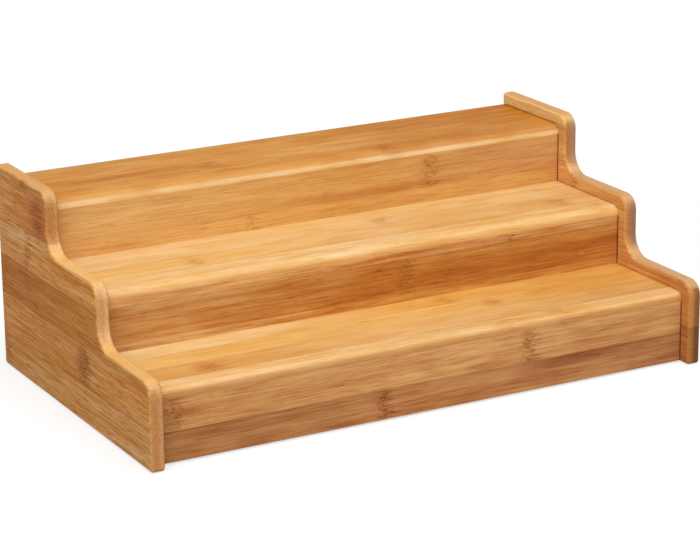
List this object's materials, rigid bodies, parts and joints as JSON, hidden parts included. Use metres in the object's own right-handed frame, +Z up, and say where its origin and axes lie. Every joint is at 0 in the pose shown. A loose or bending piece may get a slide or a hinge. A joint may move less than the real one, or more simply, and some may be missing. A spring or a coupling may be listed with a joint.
{
  "type": "tiered shelf riser",
  "caption": "Free-standing stepped shelf riser for jars, with lipped, rounded side panels and wide rounded treads, glued up from bamboo staves.",
  "frame": {"origin": "centre of the footprint, on the surface that the riser stands on", "axes": "+X along the treads towards the right side panel, +Y from the front of the lower step up to the open back, +Z up"},
  "size_m": [0.38, 0.223, 0.131],
  "materials": {
    "bamboo_side_panel": "satin clear lacquer",
    "bamboo_tread": "satin clear lacquer",
    "bamboo_riser": "satin clear lacquer"
  },
  "bodies": {
    "root": {"left_side_stave_1": "bamboo_side_panel", "left_side_stave_2": "bamboo_side_panel", "left_side_stave_3": "bamboo_side_panel", "left_side_stave_4": "bamboo_side_panel", "left_side_stave_5": "bamboo_side_panel", "left_side_stave_6": "bamboo_side_panel", "right_side_stave_1": "bamboo_side_panel", "right_side_stave_2": "bamboo_side_panel", "right_side_stave_3": "bamboo_side_panel", "right_side_stave_4": "bamboo_side_panel", "right_side_stave_5": "bamboo_side_panel", "right_side_stave_6": "bamboo_side_panel", "lower_riser_bottom_stave": "bamboo_riser", "lower_riser_top_stave": "bamboo_riser", "middle_riser_bottom_stave": "bamboo_riser", "middle_riser_centre_stave": "bamboo_riser", "middle_riser_top_stave": "bamboo_riser", "upper_riser_bottom_stave": "bamboo_riser", "upper_riser_top_stave": "bamboo_riser", "lower_tread_nose_stave": "bamboo_tread", "lower_tread_stave_2": "bamboo_tread", "lower_tread_stave_3": "bamboo_tread", "lower_tread_back_stave": "bamboo_tread", "middle_tread_nose_stave": "bamboo_tread", "middle_tread_stave_2": "bamboo_tread", "middle_tread_stave_3": "bamboo_tread", "middle_tread_back_stave": "bamboo_tread", "upper_tread_nose_stave": "bamboo_tread", "upper_tread_stave_2": "bamboo_tread", "upper_tread_stave_3": "bamboo_tread", "upper_tread_back_stave": "bamboo_tread"}
  },
  "joints": []
}
